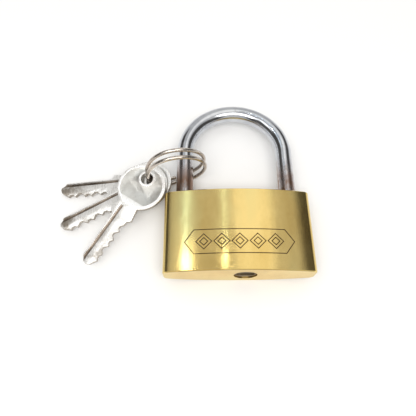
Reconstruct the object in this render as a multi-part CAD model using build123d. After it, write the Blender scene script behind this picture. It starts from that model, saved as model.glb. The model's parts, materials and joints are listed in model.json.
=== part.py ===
from build123d import *
import math
import os

# Solid brass padlock lying on its back, with a split ring and three keys on the shackle.
# Millimetres. X is along the width, +Y from the keyhole face towards the shackle crown,
# +Z out of the front face. Origin: centre of the keyhole face at mid-thickness.

os.makedirs("parts", exist_ok=True)

ALONG_X = (1, 0, 0)
ALONG_Y = (0, 1, 0)
ALONG_Z = (0, 0, 1)

# ---- general ----
gap = 0.05
overrun = 1.0
through = 40.0

# ---- body block ----
body_w = 60.0
body_h = 34.4
body_t = 15.4
body_end_t = 8.3
end_fillet = 2.7
rim_chamfer = 0.35

# ---- shackle ----
bar_r = 3.575
leg_x = 21.9
leg_hole_r = 3.65
crown_y = 55.4
heel_end_y = 8.0
heel_hole_y = 3.0
heel_chamfer = 0.6
neck_r = 2.5
neck_y = (11.75, 22.8)
toe_end_y = 27.4
toe_hole_y = 26.6
toe_chamfer = 0.8
shackle_coil_r = 2.7
shackle_coil_wire = 0.5
shackle_coil_turns = 2.5

# ---- plug and keyway ----
plug_x = 2.3
plug_r = 4.6
plug_bore_r = 4.65
plug_y = (0.45, 24.3)
plug_chamfer = 0.25
groove_y = (21.0, 22.6)
groove_r = 3.7
keyway_half_x = 3.5
keyway_half_z = 1.08
keyway_end_y = 23.1
ward_at = 0.7
ward_w = 1.0
ward_d = 0.38
key_play = 0.1

# ---- cam ----
cam_y = (24.35, 27.3)
cam_r = 4.5
tongue_x = 6.0
tongue_y = 1.5
tongue_z = 2.0
eccentric = 3.6
eccentric_r = 0.95
eccentric_top = 30.6
cam_bore_top = 30.9
throw = eccentric * math.sin(math.radians(45))

# ---- pin stacks ----
pin_pitch = 3.6
chamber_y = [4.6 + pin_pitch * i for i in range(5)]
chamber_r = 1.3
chamber_from = 2.0
pin_r = 1.26
pin_point = 0.45
shear_gap = 0.03
plug_hole_from = 0.2
driver_end_x = 13.0
spring_end_x = 24.0
pin_coil_r = 0.95
pin_coil_wire = 0.2
pin_coil_turns = 9

# ---- latch ----
latch_y = 30.6
latch_r = 2.55
latch_bore_r = 2.6
latch_x = (-8.0, 19.3)
latch_bore_x = -16.4
latch_cap_x = 26.4
nose_half = 1.2
nose_from = 15.6
nose_chamfer = 0.4
nose_bevel = 1.0
slot_play = 0.15
slot_free = 1.45
slot_top_play = 0.2
slot_floor_z = -1.2
latch_coil_r = 1.9
latch_coil_wire = 0.35
latch_coil_turns = 4
notch_y = (28.65, 32.1)
notch_depth = 1.4

# ---- retaining pins ----
heel_pin_y = 21.0
heel_pin_r = 1.5
heel_pin_z = 2.6
plug_pin_r = 0.7
plug_pin_x = plug_x - 4.45
plug_pin_y = groove_y[0] + 0.8
plug_pin_z = 2.5

# ---- split ring ----
ring_c = Vector(-25.5, 45.5, 5.5)
ring_r = 12.25
ring_wire = 0.8
ring_yaw = math.radians(-9.2)
ring_tilt = math.radians(5.7)
ring_gap_open = 3.3
ring_gap_shut = 1.68
ring_sag = 2.3
ring_close_at = -152.0
ring_start = 292.0
ring_end = 988.0
ring_cross_at = 640.0
ring_cross_span = 60.0
ring_spans = 58

# ---- keys ----
bow_r = 10.2
bow_t = 2.0
hole_off = 4.2
hole_r = 2.6
boss_r = 3.6
rim_w = 1.35
recess_d = 0.3
chord_x = 6.8
neck_x = (7.0, 14.7, 16.0)
neck_half = (4.0, 5.2)
blade_t = 1.8
blade_end = 38.5
blade_spine = 3.15
blade_edge = -3.65
cut_depth = [1.25, 1.75, 0.95, 1.6, 1.1]
cut_first = 4.9
cut_floor_half = 0.55
cut_corner_r = 0.42
key_groove_x = 10.8
key_groove_rim = 0.45
key_groove_w = 1.3
key_groove_d = 0.5
# tip outline, measured from the end of the blade
tip_profile = [(-4.2, blade_edge), (-0.5, -1.2), (0.0, 0.3), (-0.4, 1.6), (-2.6, blade_spine)]
# hole centre, blade direction in plan, drop of the tip; from the uppermost key down
key_poses = [
    ((-37.7, 41.2, 2.5), -123.2, 7.0),
    ((-35.7, 41.5, -0.15), -153.1, 6.5),
    ((-33.9, 42.8, -2.75), -176.3, 5.2),
]


def rod(r, p, d, length):
    """Cylinder of radius r from point p along direction d."""
    ends = (Align.CENTER, Align.CENTER, Align.MIN)
    return Plane(origin=p, z_dir=d) * Cylinder(r, length, align=ends)


def block(lo, hi):
    """Box between two opposite corners."""
    size = [b - a for a, b in zip(lo, hi)]
    mid = [(a + b) / 2 for a, b in zip(lo, hi)]
    return Pos(*mid) * Box(*size)


def slab(points, half):
    """Polygon in the XY plane, extruded both ways."""
    return extrude(make_face(Polyline(*points, close=True)), amount=half, both=True)


def coil(p, axis_dir, r, wire_r, length, turns):
    """Compression spring from p along axis_dir, its wire kept inside the given length."""
    run = length - 2 * wire_r
    path = Helix(pitch=run / turns, height=run, radius=r)
    start = Plane(origin=path @ 0, z_dir=path % 0)
    wire = sweep(start * Circle(wire_r), path=path, is_frenet=True)
    seat = Vector(*p) + Vector(*axis_dir) * wire_r
    return Plane(origin=seat, x_dir=ALONG_Z, z_dir=axis_dir) * wire


def save(shape, name):
    """Write one named piece."""
    shape.label = name
    export_step(shape, f"parts/{name}.step")


# ---------------------------------------------------------------- body
def body_blank():
    """The lens-section brass bar: two arc faces, flat narrow ends with rounded corners."""
    half_w = body_w / 2
    half_t = body_t / 2
    half_e = body_end_t / 2
    outline = [
        ThreePointArc((-half_w, half_e), (0, half_t), (half_w, half_e)),
        Line((half_w, half_e), (half_w, -half_e)),
        ThreePointArc((half_w, -half_e), (0, -half_t), (-half_w, -half_e)),
        Line((-half_w, -half_e), (-half_w, half_e)),
    ]
    face = Rot(90, 0, 0) * make_face(outline)
    bar = extrude(face, amount=body_h, dir=ALONG_Y)
    bar = fillet(bar.edges().filter_by(Axis.Y), end_fillet)
    ends = bar.edges().group_by(Axis.Y)
    return chamfer(ends[0] + ends[-1], rim_chamfer)


blank = body_blank()
heel_pin_hole = rod(heel_pin_r, (-leg_x, heel_pin_y, heel_pin_z), ALONG_Z, through)
plug_pin_hole = rod(plug_pin_r, (plug_pin_x, plug_pin_y, plug_pin_z), (0, 0, -1), through)
plug_bore_depth = cam_bore_top + overrun
drillings = [
    rod(leg_hole_r, (-leg_x, heel_hole_y, 0), ALONG_Y, through),
    rod(leg_hole_r, (leg_x, toe_hole_y, 0), ALONG_Y, through),
    rod(plug_bore_r, (plug_x, -overrun, 0), ALONG_Y, plug_bore_depth),
    rod(latch_bore_r, (latch_bore_x, latch_y, 0), ALONG_X, 2 * through),
    heel_pin_hole,
    plug_pin_hole,
]
for y in chamber_y:
    drillings.append(rod(chamber_r, (plug_x + chamber_from, y, 0), ALONG_X, through))

body = blank
for drilling in drillings:
    body = body - drilling
save(body, "body")

# pieces that close or cross the drillings, dressed flush with the block
latch_cap = rod(latch_bore_r, (latch_cap_x, latch_y, 0), ALONG_X, through)
save(blank & heel_pin_hole, "heel_pin")
save(blank & plug_pin_hole, "plug_pin")
save(blank & latch_cap, "latch_bore_plug")
for i, y in enumerate(chamber_y):
    cap = blank & rod(chamber_r, (spring_end_x, y, 0), ALONG_X, through)
    save(cap, f"chamber_plug_{i + 1}")


# ---------------------------------------------------------------- shackle
def shackle_solid():
    """Round bar bent to a half circle, with a long necked heel leg and a notched toe leg."""
    heel = rod(bar_r, (-leg_x, heel_end_y, 0), ALONG_Y, crown_y - heel_end_y)
    toe = rod(bar_r, (leg_x, toe_end_y, 0), ALONG_Y, crown_y - toe_end_y)
    heel = chamfer(heel.edges().group_by(Axis.Y)[0], heel_chamfer)
    toe = chamfer(toe.edges().group_by(Axis.Y)[0], toe_chamfer)
    arc = CenterArc((0, crown_y), leg_x, 0, 180)
    start = Plane(origin=(leg_x, crown_y, 0), z_dir=ALONG_Y)
    crown = sweep(start * Circle(bar_r), path=Wire([arc.edge()]))
    neck_h = neck_y[1] - neck_y[0]
    collar = rod(bar_r + overrun, (-leg_x, neck_y[0], 0), ALONG_Y, neck_h)
    collar -= rod(neck_r, (-leg_x, neck_y[0], 0), ALONG_Y, neck_h)
    # latch notch: flat lower flank with a chamfered mouth
    face_x = leg_x - bar_r
    outline = [
        (face_x - overrun, notch_y[0] - nose_chamfer),
        (face_x, notch_y[0] - nose_chamfer),
        (face_x + nose_chamfer, notch_y[0]),
        (face_x + notch_depth, notch_y[0]),
        (face_x + notch_depth, notch_y[1]),
        (face_x - overrun, notch_y[1]),
    ]
    return heel + crown + toe - collar - slab(outline, 2 * bar_r)


save(shackle_solid(), "shackle")

spring_room = heel_end_y - heel_hole_y - 2 * gap
spring_seat = (-leg_x, heel_hole_y + gap, 0)
shackle_spring = coil(
    spring_seat, ALONG_Y, shackle_coil_r, shackle_coil_wire, spring_room, shackle_coil_turns
)
save(shackle_spring, "shackle_spring")


# ---------------------------------------------------------------- plug and cam
def plug_solid():
    """Cylinder plug with keyway along X, pin holes on +X, a retaining groove and a tongue."""
    y0, y1 = plug_y
    plug = rod(plug_r, (plug_x, y0, 0), ALONG_Y, y1 - y0)
    plug = chamfer(plug.edges().group_by(Axis.Y)[0], plug_chamfer)
    front = y0 - overrun
    slot_x = plug_x - keyway_half_x
    slot = block(
        (slot_x, front, -keyway_half_z),
        (plug_x + keyway_half_x, keyway_end_y, keyway_half_z),
    )
    ward_x = slot_x + ward_at
    for side in (-1, 1):
        z0, z1 = sorted((side * keyway_half_z, side * (keyway_half_z - ward_d)))
        slot -= block((ward_x, front, z0), (ward_x + ward_w, keyway_end_y, z1))
    plug -= slot
    groove_h = groove_y[1] - groove_y[0]
    groove = rod(plug_r + overrun, (plug_x, groove_y[0], 0), ALONG_Y, groove_h)
    groove -= rod(groove_r, (plug_x, groove_y[0], 0), ALONG_Y, groove_h)
    plug -= groove
    for y in chamber_y:
        plug -= rod(chamber_r, (plug_x + plug_hole_from, y, 0), ALONG_X, 2 * plug_r)
    tongue = block(
        (plug_x - tongue_x / 2, y1, -tongue_z / 2),
        (plug_x + tongue_x / 2, y1 + tongue_y, tongue_z / 2),
    )
    return plug + tongue


def cam_solid():
    """Disc driven by the plug's tongue, with an eccentric pin on its inner face."""
    y0, y1 = cam_y
    disc = rod(cam_r, (plug_x, y0, 0), ALONG_Y, y1 - y0)
    pocket = block(
        (plug_x - tongue_x / 2 - gap, y0 - overrun, -tongue_z / 2 - gap),
        (plug_x + tongue_x / 2 + gap, plug_y[1] + tongue_y + gap, tongue_z / 2 + gap),
    )
    pin = rod(eccentric_r, (plug_x + throw, y1, -throw), ALONG_Y, eccentric_top - y1)
    return disc - pocket + pin


save(plug_solid(), "plug")
save(cam_solid(), "cam")

# ---------------------------------------------------------------- pin stacks
# Key pins end at the cuts of the matching key; driver pins start at the shear line.
key_face_x = plug_x - keyway_half_x + key_play
shear_x = plug_x + plug_bore_r
key_pin_end_x = plug_x + math.sqrt(plug_r**2 - pin_r**2) - shear_gap
pin_spring_room = spring_end_x - driver_end_x - 2 * gap
for i, (y, cut) in enumerate(zip(chamber_y, reversed(cut_depth))):
    seat_x = key_face_x + blade_spine - blade_edge - cut + gap
    key_pin = rod(pin_r, (seat_x, y, 0), ALONG_X, key_pin_end_x - seat_x)
    key_pin = chamfer(key_pin.edges().group_by(Axis.X)[0], pin_point)
    save(key_pin, f"key_pin_{i + 1}")
    driver_pin = rod(pin_r, (shear_x, y, 0), ALONG_X, driver_end_x - shear_x)
    save(driver_pin, f"driver_pin_{i + 1}")
    seat = (driver_end_x + gap, y, 0)
    spring = coil(seat, ALONG_X, pin_coil_r, pin_coil_wire, pin_spring_room, pin_coil_turns)
    save(spring, f"pin_spring_{i + 1}")


# ---------------------------------------------------------------- latch
def latch_solid():
    """Sliding bolt: flat nose on +X, cross slot for the eccentric pin, spring tail on -X."""
    x0, x1 = latch_x
    bolt = rod(latch_r, (x0, latch_y, 0), ALONG_X, x1 - x0)
    low = latch_y - nose_half
    high = latch_y + nose_half
    wide = 2 * latch_r
    outline = [
        (x0, low - wide),
        (nose_from, low - wide),
        (nose_from, low),
        (x1 - nose_chamfer, low),
        (x1, low + nose_chamfer),
        (x1, high - nose_bevel),
        (x1 - nose_bevel, high),
        (nose_from, high),
        (nose_from, high + wide),
        (x0, high + wide),
    ]
    bolt &= slab(outline, wide)
    pin_x = plug_x + throw
    bolt -= block(
        (pin_x - eccentric_r - slot_play, latch_y - wide, -wide),
        (pin_x + eccentric_r + slot_free, eccentric_top + slot_top_play, slot_floor_z),
    )
    # flat that clears the face of the cam disc
    flat_y = cam_y[1] + slot_play
    bolt -= block((x0 - overrun, latch_y - wide, -wide), (x1 + overrun, flat_y, wide))
    return bolt


save(latch_solid(), "latch")

latch_room = latch_x[0] - latch_bore_x - 2 * gap
latch_seat = (latch_bore_x + gap, latch_y, 0)
latch_spring = coil(
    latch_seat, ALONG_X, latch_coil_r, latch_coil_wire, latch_room, latch_coil_turns
)
save(latch_spring, "latch_spring")


# ---------------------------------------------------------------- split ring
# ring_n is the ring's axis; ring_u and ring_v span its plane
ring_n = Vector(
    math.sin(ring_yaw) * math.cos(ring_tilt),
    math.cos(ring_yaw) * math.cos(ring_tilt),
    math.sin(ring_tilt),
)
ring_u = ring_n.cross(Vector(ALONG_Z)).normalized()
ring_v = ring_u.cross(ring_n)


def ring_point(turn_deg):
    """Point on the wire's centreline: two flat coils with one cross-over, pinched at the keys."""
    a = math.radians(turn_deg)
    near = ((1 + math.cos(a - math.radians(ring_close_at))) / 2) ** 4
    cross = (turn_deg - ring_cross_at) / ring_cross_span + 0.5
    cross = min(1.0, max(0.0, cross))
    side = cross * cross * (3 - 2 * cross) - 0.5
    gap_here = ring_gap_open + (ring_gap_shut - ring_gap_open) * near
    rise = side * gap_here - ring_sag * near
    radial = ring_u * (ring_r * math.cos(a)) + ring_v * (ring_r * math.sin(a))
    return ring_c + radial + ring_n * rise


def split_ring():
    """Round wire wound almost twice round, with plain cut ends."""
    step = (ring_end - ring_start) / ring_spans
    points = [ring_point(ring_start + step * i) for i in range(ring_spans + 1)]
    path = Spline(*points)
    section = Plane(origin=path @ 0, z_dir=path % 0) * Circle(ring_wire)
    return sweep(section, path=path, transition=Transition.ROUND)


save(split_ring(), "split_ring")


# ---------------------------------------------------------------- keys
def key_blade(root, tip):
    """Blade with a pointed tip and rounded bitting on its lower edge."""
    outline = [(root, blade_edge)]
    outline += [(tip + x, y) for x, y in tip_profile]
    outline.append((root, blade_spine))
    blade = slab(outline, blade_t / 2)
    low = blade_edge - gap
    for i, depth in enumerate(cut_depth):
        x = tip - cut_first - pin_pitch * i
        mouth = cut_floor_half + depth + gap
        notch = [
            (x - cut_floor_half, blade_edge + depth),
            (x + cut_floor_half, blade_edge + depth),
            (x + mouth, low),
            (x - mouth, low),
        ]
        blade -= slab(notch, blade_t)
    last_x = tip - cut_first - pin_pitch * len(cut_depth)
    corners = blade.edges().filter_by(Axis.Z)
    corners = corners.filter_by_position(Axis.Y, blade_edge - gap, blade_edge / 4)
    corners = corners.filter_by_position(Axis.X, last_x, tip)
    return fillet(corners, cut_corner_r)


def key_solid():
    """Key in its own frame: hole centre at the origin, blade along +X, bitting on -Y."""
    wide = 2 * bow_r
    x0, x1, x2 = [hole_off + x for x in neck_x]
    near_half, far_half = neck_half
    tip = hole_off + blade_end
    neck_outline = [
        (x0, -near_half),
        (x1, -far_half),
        (x2, blade_edge),
        (x2, blade_spine),
        (x1, far_half),
        (x0, near_half),
    ]
    bow = Pos(hole_off, 0, 0) * Cylinder(bow_r, bow_t)
    key = bow + slab(neck_outline, bow_t / 2) + key_blade(x1, tip)
    groove_x = hole_off + key_groove_x
    groove_y = blade_spine - key_groove_rim
    for side in (-1, 1):
        # warding groove, running into the neck
        z0, z1 = sorted((side * (blade_t / 2 - key_groove_d), side * bow_t))
        key -= block((groove_x, groove_y - key_groove_w, z0), (tip + overrun, groove_y, z1))
        # recessed bow face, ended by a straight shoulder, with a raised boss round the hole
        disc = Pos(hole_off, 0, side * bow_t / 2) * Cylinder(bow_r - rim_w, 2 * recess_d)
        disc &= block((-wide, -wide, -wide), (hole_off + chord_x, wide, wide))
        key -= disc - Cylinder(boss_r, wide)
    return key - Cylinder(hole_r, wide)


def place_key(shape, hole, direction_deg, tip_drop_deg):
    """Set a key with its hole at a point, its blade at an angle in plan, its tip lowered."""
    a = math.radians(direction_deg)
    drop = math.radians(tip_drop_deg)
    level = math.cos(drop)
    blade_dir = Vector(math.cos(a) * level, math.sin(a) * level, -math.sin(drop))
    across = Vector(-math.sin(a), math.cos(a), 0)
    return Plane(origin=hole, x_dir=blade_dir, z_dir=across.cross(blade_dir)) * shape


key = key_solid()
for i, (hole, direction, drop) in enumerate(key_poses):
    save(place_key(key, hole, direction, drop), f"key_{i + 1}")
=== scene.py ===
import json
import math

import bmesh
import bpy
from mathutils import Matrix, Vector


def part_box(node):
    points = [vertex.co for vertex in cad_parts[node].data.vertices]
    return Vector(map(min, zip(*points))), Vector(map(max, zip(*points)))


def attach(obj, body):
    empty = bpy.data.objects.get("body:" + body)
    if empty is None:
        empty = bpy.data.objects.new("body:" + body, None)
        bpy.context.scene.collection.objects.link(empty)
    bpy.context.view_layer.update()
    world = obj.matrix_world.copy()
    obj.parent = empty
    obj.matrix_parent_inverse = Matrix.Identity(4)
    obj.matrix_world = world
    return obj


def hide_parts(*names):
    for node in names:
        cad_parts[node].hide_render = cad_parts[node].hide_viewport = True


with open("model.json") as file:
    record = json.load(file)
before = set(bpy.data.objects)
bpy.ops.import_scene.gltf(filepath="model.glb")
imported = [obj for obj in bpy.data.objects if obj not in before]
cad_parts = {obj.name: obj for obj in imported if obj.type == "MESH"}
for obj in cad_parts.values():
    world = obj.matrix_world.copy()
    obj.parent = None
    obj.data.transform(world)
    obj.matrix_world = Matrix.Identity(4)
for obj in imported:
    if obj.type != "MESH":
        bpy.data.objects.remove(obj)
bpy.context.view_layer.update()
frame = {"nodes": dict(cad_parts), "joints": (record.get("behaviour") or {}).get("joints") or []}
MM = 0.001
nodes = frame["nodes"]

body_lo, body_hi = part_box("body")
floor_z = body_lo.z
half_w = body_hi.x
half_t = body_hi.z
body_h = body_hi.y


# ------------------------------------------------------------------ shader helpers
class Mat:
    """A node material with a Principled shader and short calls for its textures."""

    def __init__(self, name):
        self.mat = bpy.data.materials.new(name)
        self.mat.use_nodes = True
        self.nt = self.mat.node_tree
        self.bsdf = self.nt.nodes["Principled BSDF"]
        coords = self.nt.nodes.new("ShaderNodeTexCoord")
        self.coord = coords.outputs["Object"]

    def set(self, **values):
        for key, value in values.items():
            self.bsdf.inputs[key].default_value = value

    def link(self, a, b):
        self.nt.links.new(a, b)

    def scaled(self, stretch, rot):
        m = self.nt.nodes.new("ShaderNodeMapping")
        m.inputs["Scale"].default_value = stretch
        m.inputs["Rotation"].default_value = rot
        self.link(self.coord, m.inputs["Vector"])
        return m.outputs["Vector"]

    def noise(self, scale, detail=4.0, rough=0.55, stretch=(1, 1, 1), rot=(0, 0, 0)):
        n = self.nt.nodes.new("ShaderNodeTexNoise")
        n.inputs["Scale"].default_value = scale
        n.inputs["Detail"].default_value = detail
        n.inputs["Roughness"].default_value = rough
        self.link(self.scaled(stretch, rot), n.inputs["Vector"])
        return n.outputs["Fac"]

    def cells(self, scale):
        """Distance to the middle of the nearest cell."""
        n = self.nt.nodes.new("ShaderNodeTexVoronoi")
        n.inputs["Scale"].default_value = scale
        self.link(self.coord, n.inputs["Vector"])
        return n.outputs["Distance"]

    def ramp(self, fac, stops):
        """Colour ramp through two (position, colour) stops."""
        r = self.nt.nodes.new("ShaderNodeValToRGB")
        for e, (pos, col) in zip(r.color_ramp.elements, stops):
            e.position = pos
            e.color = (*col, 1)
        self.link(fac, r.inputs["Fac"])
        return r.outputs["Color"]

    def span(self, fac, lo, hi, to_lo=0.0, to_hi=1.0):
        """Map lo..hi to to_lo..to_hi, clamped."""
        m = self.nt.nodes.new("ShaderNodeMapRange")
        m.inputs["From Min"].default_value = lo
        m.inputs["From Max"].default_value = hi
        m.inputs["To Min"].default_value = to_lo
        m.inputs["To Max"].default_value = to_hi
        self.link(fac, m.inputs["Value"])
        return m.outputs["Result"]

    def math(self, op, a, b):
        m = self.nt.nodes.new("ShaderNodeMath")
        m.operation = op
        for i, v in enumerate((a, b)):
            if isinstance(v, (int, float)):
                m.inputs[i].default_value = v
            else:
                self.link(v, m.inputs[i])
        return m.outputs["Value"]

    def mix(self, fac, base, over):
        """From the base colour socket to the plain colour over."""
        m = self.nt.nodes.new("ShaderNodeMix")
        m.data_type = "RGBA"
        self.link(fac, m.inputs["Factor"])
        colors = {s.name: s for s in m.inputs if s.type == "RGBA"}
        self.link(base, colors["A"])
        colors["B"].default_value = (*over, 1)
        return [s for s in m.outputs if s.type == "RGBA"][0]

    def axis(self, letter):
        s = self.nt.nodes.new("ShaderNodeSeparateXYZ")
        self.link(self.coord, s.inputs["Vector"])
        return s.outputs[letter]

    def attribute(self, name):
        """A value stored on the mesh's points."""
        a = self.nt.nodes.new("ShaderNodeAttribute")
        a.attribute_name = name
        return a.outputs["Fac"]

    def bump(self, layers):
        """Stack of (height, distance in metres, strength)."""
        last = None
        for height, distance, strength in layers:
            b = self.nt.nodes.new("ShaderNodeBump")
            b.inputs["Distance"].default_value = distance
            b.inputs["Strength"].default_value = strength
            self.link(height, b.inputs["Height"])
            if last is not None:
                self.link(last, b.inputs["Normal"])
            last = b.outputs["Normal"]
        self.link(last, self.bsdf.inputs["Normal"])

    def color(self, socket):
        self.link(socket, self.bsdf.inputs["Base Color"])

    def rough(self, socket):
        self.link(socket, self.bsdf.inputs["Roughness"])


# ------------------------------------------------------------------ metals
pit_brown = (0.16, 0.10, 0.05)
stain_brown = (0.30, 0.19, 0.14)
grime_brown = (0.20, 0.17, 0.13)
# Painted shade: the darker brownish patches towards the key tips stand for shade on the blade, not
# dirt.
tip_painted_shade = (0.34, 0.30, 0.25)
stain_full, stain_gone = 6 * MM, 19 * MM    # up the legs from the body
tip_from, tip_full = 24 * MM, 40 * MM       # along a key from its hole


def brass_material(name, light, dark, olive, shine, pits=False):
    """Brass with cloudy tarnish and a fine drawn grain along Y, and small pits if asked."""
    m = Mat(name)
    m.set(Metallic=1.0)
    clouds = m.noise(55, 5, 0.6, stretch=(1.3, 0.7, 1))
    wide = m.noise(26, 3, 0.5, stretch=(1.6, 0.7, 1))
    base = m.ramp(clouds, [(0.34, dark), (0.62, light)])
    base = m.mix(m.span(wide, 0.5, 0.74), base, olive)
    grain = m.noise(900, 3, 0.7, stretch=(3.0, 0.09, 1.5))
    smear = m.noise(260, 4, 0.6, stretch=(1, 0.5, 1))
    blend = m.math("ADD", m.math("MULTIPLY", grain, 0.45), m.math("MULTIPLY", smear, 0.55))
    m.rough(m.span(blend, 0.3, 0.7, *shine))
    layers = [(grain, 0.02 * MM, 0.12), (m.noise(120, 2, 0.4), 0.2 * MM, 0.05)]
    if pits:
        speck = m.span(m.cells(330), 0.035, 0.085, 1.0, 0.0)
        rare = m.span(m.noise(160, 2), 0.62, 0.66)
        pit = m.math("MULTIPLY", speck, rare)
        base = m.mix(pit, base, pit_brown)
        layers.append((m.math("SUBTRACT", 1.0, pit), 0.12 * MM, 0.5))
    m.color(base)
    m.bump(layers)
    return m.mat


def chrome_material():
    """Chromed bar: fine polish, brown staining near the leg holes and faint wear."""
    m = Mat("shackle_chrome")
    m.set(Metallic=1.0)
    tint = m.ramp(m.noise(130, 4), [(0.35, (0.50, 0.52, 0.56)), (0.65, (0.66, 0.68, 0.71))])
    low = m.span(m.axis("Y"), body_h + stain_full, body_h + stain_gone, 1.0, 0.0)
    cloud = m.span(m.noise(210, 5, 0.65, stretch=(1, 0.4, 1)), 0.30, 0.52)
    stain = m.math("MULTIPLY", low, cloud)
    flecks = m.span(m.noise(700, 3, 0.6), 0.64, 0.74)
    stain = m.math("MAXIMUM", stain, m.math("MULTIPLY", flecks, 0.25))
    m.color(m.mix(stain, tint, stain_brown))
    fine = m.noise(1500, 3, 0.6, stretch=(1, 0.15, 1))
    worn = m.math("ADD", m.math("MULTIPLY", fine, 0.35), m.math("MULTIPLY", stain, 0.75))
    m.rough(m.span(worn, 0.1, 0.8, 0.09, 0.36))
    m.bump([(fine, 0.02 * MM, 0.10), (m.noise(300, 3), 0.1 * MM, 0.08),
            (stain, 0.06 * MM, 0.2)])
    return m.mat


def nickel_material(name, light, dark, shine, grime, metal=1.0, tip=False):
    """Worn nickel plate: cloudy, with brown grime and fine scratches, and painted shade darkening
    the key tips if asked.
    """
    m = Mat(name)
    m.set(Metallic=metal)
    clouds = m.noise(150, 4, 0.6)
    base = m.ramp(clouds, [(0.34, dark), (0.58, light)])
    spots = m.span(m.noise(700, 4, 0.7), 0.60, 0.74)
    base = m.mix(m.math("MULTIPLY", spots, grime), base, grime_brown)
    # Painted shade: darker patches towards the far end of a key blade.
    if tip:
        far = m.span(m.attribute("along"), tip_from, tip_full)
        patch = m.span(m.noise(190, 3, 0.6), 0.40, 0.56)
        base = m.mix(m.math("MULTIPLY", far, patch), base, tip_painted_shade)
    m.color(base)
    scratch = m.noise(1800, 2, 0.5, stretch=(1, 0.08, 1), rot=(0, 0, 0.9))
    m.rough(m.span(m.math("ADD", clouds, scratch), 0.8, 1.2, *shine))
    m.bump([(scratch, 0.01 * MM, 0.04), (m.noise(400, 2, 0.5), 0.04 * MM, 0.08)])
    return m.mat


BRASS = brass_material("body_brass", light=(0.82, 0.62, 0.24), dark=(0.70, 0.50, 0.17),
                       olive=(0.70, 0.60, 0.26), shine=(0.10, 0.19), pits=True)
# Dark plug: partly its own dark, grimy metal and partly painted shade for its recess in the bore.
PLUG_DARK_AND_SHADE = brass_material("plug_brass", light=(0.22, 0.16, 0.09), dark=(0.08, 0.055, 0.03),
                      olive=(0.12, 0.09, 0.05), shine=(0.35, 0.55))
PIN = brass_material("pin_brass", light=(0.72, 0.54, 0.22), dark=(0.56, 0.40, 0.14),
                     olive=(0.55, 0.46, 0.18), shine=(0.2, 0.35))
GROOVE = brass_material("engraving_brass", light=(0.16, 0.10, 0.04), dark=(0.07, 0.045, 0.015),
                        olive=(0.10, 0.07, 0.025), shine=(0.45, 0.65))
CHROME = chrome_material()
KEY_FACE = nickel_material("key_nickel", light=(0.98, 0.97, 0.95), dark=(0.90, 0.89, 0.86),
                           shine=(0.22, 0.34), grime=0.2, metal=0.45, tip=True)
# Painted shade: the recess, groove-floor and side-wall materials are darker than the key face and
# stand for the shade that falls there; all of them also carry grime spots.
KEY_RECESS_SHADE = nickel_material("key_recess_painted_shade", light=(0.74, 0.73, 0.69), dark=(0.55, 0.53, 0.49),
                           shine=(0.28, 0.42), grime=0.4, metal=0.90)
KEY_GROOVE_SHADE_AND_GRIME = nickel_material("key_groove_painted_shade_and_grime", light=(0.46, 0.38, 0.31), dark=(0.22, 0.17, 0.13),
                            shine=(0.3, 0.5), grime=0.7)
KEY_SIDE_SHADE = nickel_material("key_side_painted_shade", light=(0.50, 0.46, 0.41), dark=(0.30, 0.26, 0.22),
                           shine=(0.25, 0.4), grime=0.6)
RING = nickel_material("ring_nickel", light=(0.68, 0.62, 0.56), dark=(0.46, 0.40, 0.35),
                       shine=(0.14, 0.30), grime=0.7)
SPRING = nickel_material("spring_steel", light=(0.5, 0.5, 0.5), dark=(0.35, 0.35, 0.36),
                         shine=(0.25, 0.4), grime=0.4)


# ------------------------------------------------------------------ mesh helpers
weld_gap = 1e-7
flat_angle = math.radians(0.4)


def copy_of(node, name):
    """A new object with the CAD node's mesh, cleaned so that flat faces are whole."""
    o = bpy.data.objects.new(name, nodes[node].data.copy())
    bpy.context.scene.collection.objects.link(o)
    bm = bmesh.new()
    bm.from_mesh(o.data)
    bmesh.ops.remove_doubles(bm, verts=bm.verts, dist=weld_gap)
    bmesh.ops.dissolve_limit(bm, angle_limit=flat_angle, verts=bm.verts, edges=bm.edges)
    bm.to_mesh(o.data)
    bm.free()
    return o


def apply_all(o):
    """Bake the modifiers into the mesh."""
    deps = bpy.context.evaluated_depsgraph_get()
    mesh = bpy.data.meshes.new_from_object(o.evaluated_get(deps))
    o.modifiers.clear()
    o.data = mesh


def smooth(o, angle):
    """Smooth shading, with edges sharper than the angle in degrees left crisp."""
    mesh = o.data
    for name in ("custom_normal", "sharp_face"):
        if name in mesh.attributes:
            mesh.attributes.remove(mesh.attributes[name])
    mesh.polygons.foreach_set("use_smooth", [True] * len(mesh.polygons))
    mesh.set_sharp_from_angle(angle=math.radians(angle))


def paint(o, *mats):
    o.data.materials.clear()
    for m in mats:
        o.data.materials.append(m)


def finish_piece(o, body, replaced):
    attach(o, body)
    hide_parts(replaced)


# ------------------------------------------------------------------ body block
end_half = 4.15 * MM        # half thickness at the narrow ends
sag = half_t - end_half
arc_r = (half_w**2 + sag**2) / (2 * sag)
cut_width, cut_depth = 0.36 * MM, 0.16 * MM
cut_step = 1.2 * MM         # about the length of a groove's pieces on the curved face
mitre_least = 0.4           # keeps a sharp corner of a groove from running out to a spike


def front_z(x):
    """Height of the front arc face at x."""
    return math.sqrt(arc_r**2 - x * x) - (arc_r - half_t)


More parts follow.
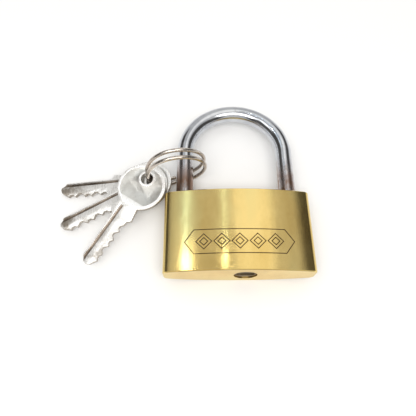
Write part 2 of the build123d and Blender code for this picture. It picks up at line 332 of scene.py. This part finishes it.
def groove_cutter(outline):
    """Closed ring of rectangular section that follows an outline over the front face."""
    pts = []
    for a, b in zip(outline, outline[1:] + outline[:1]):
        n = max(1, round((b - a).length / cut_step))
        pts += [a.lerp(b, i / n) for i in range(n)]
    verts, faces = [], []
    count = len(pts)
    for i, p in enumerate(pts):
        u = (p - pts[i - 1]).normalized()
        v = (pts[(i + 1) % count] - p).normalized()
        side = Vector((-(u + v).y, (u + v).x)).normalized()
        side *= cut_width / 2 / max(mitre_least, side.dot(Vector((-u.y, u.x))))
        for s in (-1, 1):
            q = p + side * s
            verts.append((q.x, q.y, front_z(q.x) - cut_depth))
            verts.append((q.x, q.y, front_z(q.x) + 4 * cut_depth))
    for i in range(count):
        a, b = 4 * i, 4 * ((i + 1) % count)
        for c, d in ((0, 1), (1, 3), (3, 2), (2, 0)):
            faces.append((a + c, a + d, b + d, b + c))
    mesh = bpy.data.meshes.new("cutter")
    mesh.from_pydata(verts, [], faces)
    bm = bmesh.new()
    bm.from_mesh(mesh)
    bmesh.ops.recalc_face_normals(bm, faces=bm.faces)
    bm.to_mesh(mesh)
    bm.free()
    o = bpy.data.objects.new("cutter", mesh)
    bpy.context.scene.collection.objects.link(o)
    paint(o, GROOVE)
    return o


def motif():
    """Outlines of a plain band: a long six-sided frame round a row of double lozenges."""
    y0, half_h, half_l = 11.6 * MM, 4.9 * MM, 21.5 * MM
    flat_l = half_l - 3.6 * MM
    pitch, reach = 7.0 * MM, 3.1 * MM
    loops = [[Vector((-half_l, y0)), Vector((-flat_l, y0 - half_h)),
              Vector((flat_l, y0 - half_h)), Vector((half_l, y0)),
              Vector((flat_l, y0 + half_h)), Vector((-flat_l, y0 + half_h))]]
    for i in range(-2, 3):
        cx = i * pitch
        for r in (reach, reach / 2):
            loops.append([Vector((cx - r, y0)), Vector((cx, y0 - r)),
                          Vector((cx + r, y0)), Vector((cx, y0 + r))])
    return loops


def build_body():
    """The brass block with its engraved band."""
    o = copy_of("body", "body_block")
    paint(o, BRASS, GROOVE)
    cutters = [groove_cutter(loop) for loop in motif()]
    bpy.ops.object.select_all(action="DESELECT")
    for c in cutters:
        c.select_set(True)
    bpy.context.view_layer.objects.active = cutters[0]
    bpy.ops.object.join()
    cutter = bpy.context.view_layer.objects.active
    cut = o.modifiers.new("engrave", "BOOLEAN")
    cut.operation = "DIFFERENCE"
    cut.solver = "EXACT"
    cut.object = cutter
    cut.material_mode = "TRANSFER"
    apply_all(o)
    bpy.data.objects.remove(cutter)
    smooth(o, 25)
    finish_piece(o, "case", "body")


build_body()


# ------------------------------------------------------------------ shackle, ring, keys
def build_wire(node, name, mat, angle):
    """A smooth copy of a round bar or wire, on the body of the same name."""
    o = copy_of(node, name)
    smooth(o, angle)
    paint(o, mat)
    finish_piece(o, node, node)


build_wire("shackle", "shackle_bar", CHROME, 35)
build_wire("split_ring", "ring_wire", RING, 50)

# How squarely a face looks along the key's hole: a flat face at least, a side wall at most.
face_least, side_most = 0.95, 0.35
# Distance from the blade's middle plane, at most.
groove_level, recess_level = 0.5 * MM, 0.8 * MM
ON_FACE, ON_RECESS, ON_GROOVE, ON_EDGE = range(4)


def key_zones(o, joint):
    """Mark recesses, groove floors and side walls, and each point's distance from the hole."""
    hole = Vector(joint["pos_m"])
    across = Vector(joint["axis"]).normalized()
    for face in o.data.polygons:
        level = abs((face.center - hole).dot(across))
        facing = abs(face.normal.dot(across))
        # Painted shade: groove floors, recesses and side walls get the darker materials.
        if facing > face_least and level < groove_level:
            face.material_index = ON_GROOVE
        elif facing > face_least and level < recess_level:
            face.material_index = ON_RECESS
        elif facing > face_least:
            face.material_index = ON_FACE
        elif facing < side_most:
            face.material_index = ON_EDGE
    along = o.data.attributes.new("along", "FLOAT", "POINT")
    along.data.foreach_set("value", [(v.co - hole).length for v in o.data.vertices])


def build_key(i):
    """A key with softened edges and painted shade darkening its recesses, groove floors and side
    walls, with more grime spots in the grooves.
    """
    o = copy_of(f"key_{i}", f"key_blank_{i}")
    b = o.modifiers.new("soften", "BEVEL")
    b.width = 0.14 * MM
    b.segments = 2
    b.limit_method = "ANGLE"
    b.angle_limit = math.radians(35)
    apply_all(o)
    smooth(o, 40)
    paint(o, KEY_FACE, KEY_RECESS_SHADE, KEY_GROOVE_SHADE_AND_GRIME, KEY_SIDE_SHADE)
    finish_piece(o, f"key_{i}", f"key_{i}")
    key_zones(o, [j for j in frame["joints"] if j["child"] == f"key_{i}"][0])


for number in (1, 2, 3):
    build_key(number)


# ------------------------------------------------------------------ CAD nodes that stay
def metal_of(node):
    """The metal of a piece that keeps its CAD mesh."""
    if node == "plug":
        return PLUG_DARK_AND_SHADE
    if "spring" in node or node == "plug_pin":
        return SPRING
    if node in ("heel_pin", "latch_bore_plug") or node.startswith("chamber_plug"):
        return BRASS
    return PIN


for node, cad_piece in nodes.items():
    if not cad_piece.hide_render:
        paint(cad_piece, metal_of(node))


# ------------------------------------------------------------------ studio
def sheet(name, corners, mat):
    """A flat four-cornered staging surface."""
    mesh = bpy.data.meshes.new(name)
    mesh.from_pydata(corners, [], [(0, 1, 2, 3)])
    o = bpy.data.objects.new(name, mesh)
    bpy.context.scene.collection.objects.link(o)
    paint(o, mat)
    return o


def matt_material(name, roughness, low, high):
    """A matt board with a barely visible change of shade."""
    m = Mat(name)
    m.set(Roughness=roughness)
    m.color(m.ramp(m.noise(3, 2), [(0.3, low), (0.7, high)]))
    return m.mat


def floor():
    """White paper just under the padlock."""
    size = 1.6
    z = floor_z - 0.02 * MM
    corners = [(-size, -size, z), (size, -size, z), (size, size, z), (-size, size, z)]
    mat = matt_material("floor_paper", 0.9, (0.94, 0.94, 0.94), (0.96, 0.96, 0.96))
    sheet("floor", corners, mat)


def dark_cards():
    """Two dark boards beside the set, leaning inwards, seen only in the polished metal."""
    mat = matt_material("card_dark", 1.0, (0.09, 0.085, 0.08), (0.12, 0.115, 0.11))
    half_long = 1.2
    foot_x, foot_z = 0.95, 0.25
    for side, top_x, top_z in ((1, 0.55, 0.72), (-1, 0.50, 0.76)):
        corners = [(side * foot_x, -half_long, foot_z), (side * foot_x, half_long, foot_z),
                   (side * top_x, half_long, top_z), (side * top_x, -half_long, top_z)]
        o = sheet("card", corners, mat)
        o.visible_camera = False
        o.visible_diffuse = False
        o.visible_shadow = False


def area_light(name, pos, size, radiance, color=(1, 1, 1)):
    """Rectangular soft light that faces the padlock with one side level. Metres."""
    data = bpy.data.lights.new(name, "AREA")
    data.shape = "RECTANGLE"
    data.size, data.size_y = size
    data.energy = math.pi * size[0] * size[1] * radiance
    data.color = color
    o = bpy.data.objects.new(name, data)
    centre = Vector((0, 0.02, 0))
    back = (Vector(pos) - centre).normalized()
    across = Vector((0, 1, 0)).cross(back).normalized()
    turn = Matrix((across, back.cross(across), back)).transposed()
    o.matrix_world = Matrix.Translation(pos) @ turn.to_4x4()
    bpy.context.scene.collection.objects.link(o)


def studio():
    """Pale surroundings, soft lights from above, and strips that show as bands in the brass."""
    world = bpy.data.worlds.new("studio")
    bpy.context.scene.world = world
    world.use_nodes = True
    back = world.node_tree.nodes["Background"]
    back.inputs["Color"].default_value = (1.0, 0.99, 0.97, 1)
    back.inputs["Strength"].default_value = 0.66
    cool = (0.55, 0.80, 1.0)
    area_light("overhead", (0.18, 0.34, 0.75), (0.28, 0.55), 0.55, (1.0, 0.97, 0.9))
    area_light("strip_wide", (-0.288, 0.345, 0.72), (0.034, 0.26), 2.0, cool)
    area_light("strip_thin", (-0.025, 0.345, 0.74), (0.012, 0.26), 3.2, cool)
    area_light("hot_wide", (-0.288, 0.235, 0.72), (0.050, 0.035), 16.0)
    area_light("hot_thin", (-0.025, 0.235, 0.74), (0.009, 0.035), 18.0)
    area_light("key_panel", (-0.40, 0.02, 0.70), (0.34, 0.22), 1.3)
    area_light("front_top", (0.0, -0.33, 0.75), (0.8, 0.35), 4.2, (1.0, 0.98, 0.95))


def camera():
    """The camera stands over the padlock, in front of the keyhole face, looking down."""
    data = bpy.data.cameras.new("camera")
    data.lens = 35.32
    data.sensor_width = 36
    data.clip_start = 0.005
    o = bpy.data.objects.new("camera", data)
    roll, tilt, pan = (math.radians(a) for a in (-1.33, 24.74, -0.72))
    turn = (Matrix.Rotation(roll, 3, "Y") @ Matrix.Rotation(tilt, 3, "X")
            @ Matrix.Rotation(pan, 3, "Z"))
    place = Vector((-15.63, -42.69, 155.41)) * MM
    o.matrix_world = Matrix.Translation(place) @ turn.to_4x4()
    bpy.context.scene.collection.objects.link(o)
    bpy.context.scene.camera = o


floor()
dark_cards()
studio()
camera()
bpy.context.scene.view_settings.view_transform = "Standard"
